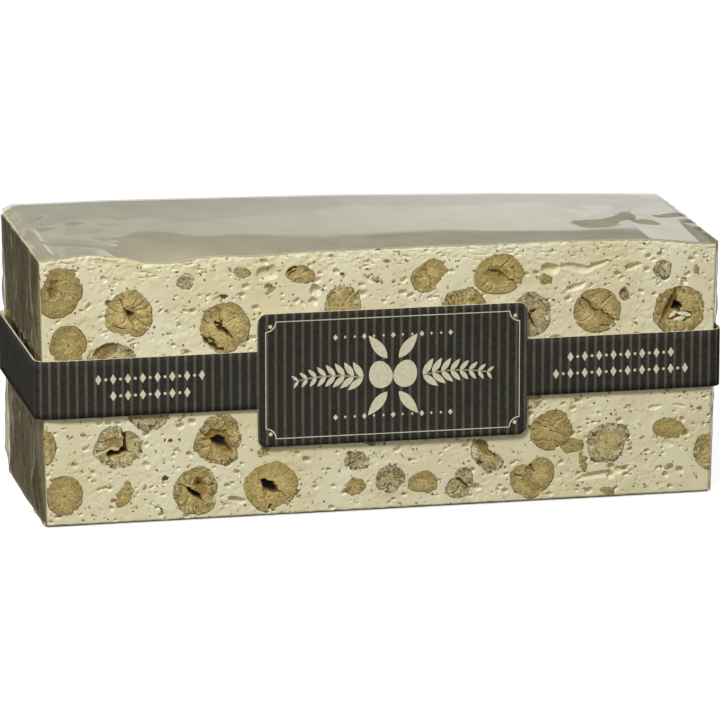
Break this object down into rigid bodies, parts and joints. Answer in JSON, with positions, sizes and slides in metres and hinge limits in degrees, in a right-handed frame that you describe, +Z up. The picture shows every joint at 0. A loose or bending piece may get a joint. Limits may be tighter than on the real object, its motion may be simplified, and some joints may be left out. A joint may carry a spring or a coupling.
{
  "type": "wrapped block of hazelnut nougat",
  "caption": "Oblong block of hard cream nougat set with cut hazelnuts, between wafer sheets, in folded clear film with a striped card band.",
  "frame": {"origin": "middle of the underside, on the surface that the block rests on", "axes": "+X along the block to the right as seen from the cut front face with the label panel, +Y to the back, +Z up"},
  "size_m": [0.165, 0.0576, 0.0656],
  "materials": {
    "nougat": "matt, faintly satin, cut with a blade",
    "hazelnut": "roasted kernel, cut face matt",
    "wafer": "matt edible wafer sheet",
    "band_card": "matt charcoal card with printed pinstripes",
    "film": "clear glossy film, creased where it is folded"
  },
  "bodies": {
    "root": {"card_band": "band_card", "film_end_left": "film", "film_end_right": "film", "hazelnut_back_01": "hazelnut", "hazelnut_back_02": "hazelnut", "hazelnut_back_03": "hazelnut", "hazelnut_back_04": "hazelnut", "hazelnut_back_05": "hazelnut", "hazelnut_back_06": "hazelnut", "hazelnut_back_07": "hazelnut", "hazelnut_back_08": "hazelnut", "hazelnut_back_09": "hazelnut", "hazelnut_back_10": "hazelnut", "hazelnut_back_11": "hazelnut", "hazelnut_back_12": "hazelnut", "hazelnut_front_01": "hazelnut", "hazelnut_front_02": "hazelnut", "hazelnut_front_03": "hazelnut", "hazelnut_front_04": "hazelnut", "hazelnut_front_05": "hazelnut", "hazelnut_front_06": "hazelnut", "hazelnut_front_07": "hazelnut", "hazelnut_front_08": "hazelnut", "hazelnut_front_09": "hazelnut", "hazelnut_front_10": "hazelnut", "hazelnut_front_11": "hazelnut", "hazelnut_front_12": "hazelnut", "hazelnut_front_13": "hazelnut", "hazelnut_front_14": "hazelnut", "hazelnut_front_15": "hazelnut", "hazelnut_front_16": "hazelnut", "hazelnut_front_17": "hazelnut", "hazelnut_front_18": "hazelnut", "hazelnut_front_19": "hazelnut", "hazelnut_front_20": "hazelnut", "hazelnut_front_21": "hazelnut", "hazelnut_front_22": "hazelnut", "hazelnut_front_23": "hazelnut", "hazelnut_front_24": "hazelnut", "hazelnut_front_25": "hazelnut", "hazelnut_front_26": "hazelnut", "hazelnut_front_27": "hazelnut", "hazelnut_front_28": "hazelnut", "hazelnut_front_29": "hazelnut", "hazelnut_front_30": "hazelnut", "hazelnut_front_31": "hazelnut", "hazelnut_front_32": "hazelnut", "hazelnut_front_33": "hazelnut", "hazelnut_left_01": "hazelnut", "hazelnut_left_02": "hazelnut", "hazelnut_left_03": "hazelnut", "hazelnut_right_01": "hazelnut", "hazelnut_right_02": "hazelnut", "hazelnut_right_03": "hazelnut", "nougat_block": "nougat", "wafer_bottom": "wafer", "wafer_top": "wafer"}
  },
  "joints": []
}
